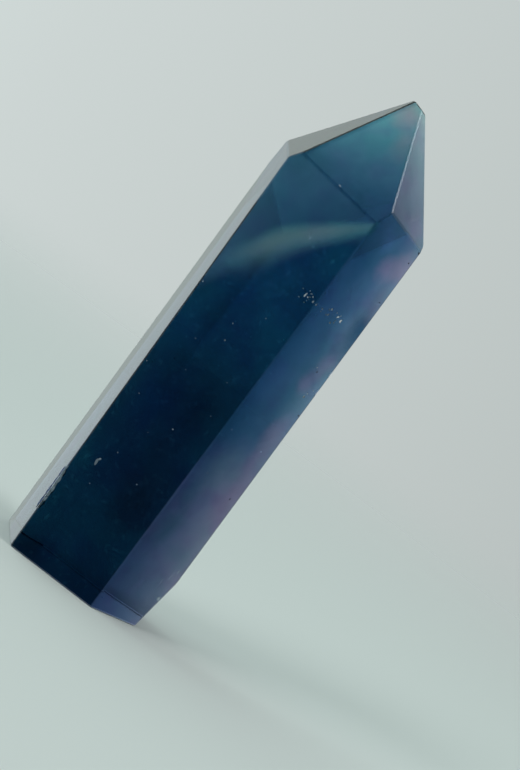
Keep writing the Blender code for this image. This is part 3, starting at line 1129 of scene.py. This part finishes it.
class FLUORITE_OT_grains(bpy.types.Operator):
    """Set the small dark grains in the right face"""

    bl_idname = "fluorite.grains"
    bl_label = "Dark grains"

    def execute(self, context):
        bpy.ops.object.select_all(action="DESELECT")
        bpy.ops.mesh.primitive_ico_sphere_add(subdivisions=2, radius=0.5)
        master = context.object
        open_mesh(master)
        bpy.ops.transform.vertex_random(offset=0.2, uniform=0.5, normal=0.0, seed=4)
        close_mesh()
        draw = random.Random(12)
        faces = ground_faces(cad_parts[STONE_NODE])
        places = []
        for x, z in GRAINS:
            place, normal = surface_place(faces, x, z)
            places.append((place, flat_on(normal, draw.uniform(-1.0, 1.0)), GRAIN_SIZE, draw.random()))
        material = pale_material("dark grain", DARK_GRAIN_TINTS, 1500.0)
        scattered(master, "dark_grains", places, material)
        return {"FINISHED"}


class FLUORITE_OT_milky_band(bpy.types.Operator):
    """Lay the milky band of the growth zone behind the front face"""

    bl_idname = "fluorite.milky_band"
    bl_label = "Milky band"

    def execute(self, context):
        settings = context.scene.fluorite_inclusions
        faces = ground_faces(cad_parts[STONE_NODE])
        point, normal = min(faces, key=lambda item: item[1].y)
        side = Vector((0.0, 0.0, 1.0)).cross(-normal).normalized()
        rise = normal.cross(side).normalized()
        if rise.z < 0:
            rise = -rise
        place = Matrix((side, rise, side.cross(rise))).transposed().to_4x4()
        sheets = []
        for layer in range(settings.band_layers):
            bpy.ops.object.select_all(action="DESELECT")
            bpy.ops.mesh.primitive_grid_add(x_subdivisions=SHEET_STEPS, y_subdivisions=SHEET_STEPS, size=1.0)
            sheet = context.object
            open_mesh(sheet)
            bpy.ops.transform.resize(value=(*SHEET_SIZE, 1.0))
            close_mesh()
            middle = Vector((SHEET_MIDDLE[0], 0.0, SHEET_MIDDLE[1]))
            middle.y = point.y - ((middle - point).x * normal.x + (middle - point).z * normal.z) / normal.y
            middle -= normal * (settings.band_depth + settings.band_spacing * layer)
            sheet.data.transform(Matrix.Translation(middle) @ place)
            settle(sheet, "milky_band")
            open_mesh(sheet)
            for point_on, outward in faces:
                bpy.ops.mesh.select_all(action="SELECT")
                bpy.ops.mesh.bisect(plane_co=point_on - outward * SHEET_MARGIN, plane_no=outward,
                                    use_fill=False, clear_outer=True, threshold=CUT_GAP)
            close_mesh()
            only_this(sheet)
            thick = sheet.modifiers.new("Thickness", "SOLIDIFY")
            thick.thickness = SHEET_THICKNESS
            bpy.ops.object.modifier_apply(modifier=thick.name)
            sheets.append(sheet)
        sheet = join_pieces(sheets)
        settle(sheet, "milky_band")
        open_mesh(sheet)
        bpy.ops.mesh.normals_make_consistent(inside=False)
        close_mesh()
        sheet.data.materials.append(band_material(settings))
        declare(sheet)
        return {"FINISHED"}


class FLUORITE_OT_studio(bpy.types.Operator):
    """Set up the pale floor and backdrop, the soft light, the dark screen and the camera"""

    bl_idname = "fluorite.studio"
    bl_label = "Studio"

    def execute(self, context):
        settings = context.scene.fluorite_studio
        self.backdrop(context.scene, settings)
        self.floor(settings)
        self.screen()
        self.light(settings)
        self.camera(context.scene, settings)
        context.scene.view_settings.view_transform = "Standard"
        context.scene.cycles.max_bounces = 24
        context.scene.cycles.transmission_bounces = 24
        context.scene.cycles.glossy_bounces = 16
        context.scene.cycles.transparent_max_bounces = 16
        return {"FINISHED"}

    def backdrop(self, scene, settings):
        """A pale surround, a little brighter to the left."""
        world = bpy.data.worlds.new("pale surround")
        scene.world = world
        world.use_nodes = True
        tree = world.node_tree
        place = node_of(tree, "ShaderNodeTexCoord", (-900, 0)).outputs["Generated"]
        across = axes_of(tree, (-700, 0), place)["X"]
        slide = ramp_node(tree, (-500, 0), across, *BACKDROP_SPAN, kind="LINEAR")
        ramp = node_of(tree, "ShaderNodeValToRGB", (-300, 0))
        stops = ramp.color_ramp.elements
        stops[0].color = tint(settings, "backdrop_left")
        stops[1].color = tint(settings, "backdrop_right")
        middle = stops.new(BACKDROP_MIDDLE)
        middle.color = tint(settings, "backdrop_middle")
        tree.links.new(slide, ramp.inputs["Fac"])
        tree.links.new(ramp.outputs["Color"], tree.nodes["Background"].inputs["Color"])

    def floor(self, settings):
        """A pale floor that fades into the surround."""
        bpy.ops.object.select_all(action="DESELECT")
        bpy.ops.mesh.primitive_circle_add(vertices=96, radius=FLOOR_RADIUS, fill_type="NGON",
                                          location=(0.0, 0.0, -FLOOR_GAP))
        floor = bpy.context.object
        settle(floor, "floor")
        material, tree, shader = new_material("pale floor")
        shader.inputs["Base Color"].default_value = tint(settings, "floor_colour")
        shader.inputs["Roughness"].default_value = 1.0
        place = object_place(tree, (-900, 0))
        reach = node_of(tree, "ShaderNodeVectorMath", (-700, 0), operation="LENGTH")
        tree.links.new(place, reach.inputs[0])
        fade = ramp_node(tree, (-500, 0), reach.outputs["Value"], *FLOOR_FADE)
        tree.links.new(fade, shader.inputs["Alpha"])
        floor.data.materials.append(material)
        floor.visible_glossy = False

    def screen(self):
        """A dark screen round the camera's side, which keeps glare off the front faces."""
        bpy.ops.object.select_all(action="DESELECT")
        bpy.ops.mesh.primitive_uv_sphere_add(segments=72, ring_count=36, radius=SCREEN_RADIUS)
        screen = bpy.context.object
        bpy.ops.object.mode_set(mode="EDIT")
        mesh = bmesh.from_edit_mesh(screen.data)
        for face in mesh.faces:
            way = face.calc_center_median().normalized()
            bearing = math.degrees(math.atan2(way.x, -way.y))
            rise = math.degrees(math.asin(way.z))
            kept = any(start < bearing < end and low < rise < high
                       for (start, end), (low, high) in SCREEN_PARTS)
            face.select_set(not kept)
        bmesh.update_edit_mesh(screen.data)
        bpy.ops.mesh.delete(type="FACE")
        bpy.ops.object.mode_set(mode="OBJECT")
        settle(screen, "dark_screen")
        material, _, shader = new_material("black cloth")
        shader.inputs["Base Color"].default_value = SCREEN_COLOUR
        shader.inputs["Roughness"].default_value = 1.0
        shader.inputs["Specular IOR Level"].default_value = 0.0
        screen.data.materials.append(material)
        screen.visible_camera = False

    def light(self, settings):
        """Small soft lights: two above on the camera's side, and one behind the stone on either side."""
        for name, way, away, power in LAMPS:
            lamp_data = bpy.data.lights.new(name, "AREA")
            lamp_data.shape = "DISK"
            lamp_data.size = LAMP_SIZE
            lamp_data.energy = getattr(settings, power)
            lamp = bpy.data.objects.new(name, lamp_data)
            way = Vector(way).normalized()
            lamp.location = Vector(STONE_MIDDLE) + way * away
            lamp.rotation_mode = "QUATERNION"
            lamp.rotation_quaternion = way.to_track_quat("Z", "Y")
            lamp.visible_camera = False
            bpy.context.scene.collection.objects.link(lamp)

    def camera(self, scene, settings):
        """The camera, at the picture's angle."""
        focal = settings.distance * PIXELS_PER_METRE
        forward = Vector((0.0, math.cos(settings.height), -math.sin(settings.height)))
        level = Vector((1.0, 0.0, 0.0))
        upright = level.cross(forward)
        right = math.cos(settings.tilt) * level + math.sin(settings.tilt) * upright
        up = -math.sin(settings.tilt) * level + math.cos(settings.tilt) * upright
        across = (SEEN_AT[0] - PICTURE_WIDTH / 2) / focal
        above = -(SEEN_AT[1] - PICTURE_HEIGHT / 2) / focal
        place = Vector(SEEN_PLACE) - (forward + right * across + up * above) * settings.distance
        camera_data = bpy.data.cameras.new("camera")
        camera_data.sensor_fit = "VERTICAL"
        camera_data.sensor_height = SENSOR_HEIGHT
        camera_data.lens = focal / PICTURE_HEIGHT * SENSOR_HEIGHT
        camera_data.clip_start = 0.01
        camera = bpy.data.objects.new("camera", camera_data)
        scene.collection.objects.link(camera)
        camera.matrix_world = Matrix.Translation(place) @ Matrix((right, up, -forward)).transposed().to_4x4()
        scene.camera = camera


class FLUORITE_PT_panel(bpy.types.Panel):
    """The steps that make the stone, in order."""

    bl_idname = "FLUORITE_PT_panel"
    bl_label = "Fluorite point"
    bl_space_type = "VIEW_3D"
    bl_region_type = "UI"
    bl_category = "Fluorite"

    def draw(self, context):
        layout = self.layout
        scene = context.scene
        for title, settings, steps in (
                ("Stone", scene.fluorite_stone, (FLUORITE_OT_grind_stone,)),
                ("Inclusions", scene.fluorite_inclusions,
                 (FLUORITE_OT_crack_flecks, FLUORITE_OT_crumbs, FLUORITE_OT_grains, FLUORITE_OT_milky_band)),
                ("Studio", scene.fluorite_studio, (FLUORITE_OT_studio,))):
            box = layout.box()
            box.label(text=title)
            for name in settings.bl_rna.properties.keys():
                if name not in ("rna_type", "name"):
                    box.prop(settings, name)
            for step in steps:
                box.operator(step.bl_idname)


CLASSES = (
    StoneSettings,
    InclusionSettings,
    StudioSettings,
    FLUORITE_OT_grind_stone,
    FLUORITE_OT_crack_flecks,
    FLUORITE_OT_crumbs,
    FLUORITE_OT_grains,
    FLUORITE_OT_milky_band,
    FLUORITE_OT_studio,
    FLUORITE_PT_panel,
)


def register():
    """Add the settings, the steps and the panel."""
    for item in CLASSES:
        bpy.utils.register_class(item)
    bpy.types.Scene.fluorite_stone = PointerProperty(type=StoneSettings)
    bpy.types.Scene.fluorite_inclusions = PointerProperty(type=InclusionSettings)
    bpy.types.Scene.fluorite_studio = PointerProperty(type=StudioSettings)


def unregister():
    """Take the settings, the steps and the panel out again."""
    del bpy.types.Scene.fluorite_studio
    del bpy.types.Scene.fluorite_inclusions
    del bpy.types.Scene.fluorite_stone
    for item in reversed(CLASSES):
        bpy.utils.unregister_class(item)


def main():
    """Make every piece and the studio."""
    register()
    bpy.ops.fluorite.grind_stone()
    bpy.ops.fluorite.crack_flecks()
    bpy.ops.fluorite.crumbs()
    bpy.ops.fluorite.grains()
    bpy.ops.fluorite.milky_band()
    bpy.ops.fluorite.studio()


if __name__ == "__main__":
    main()
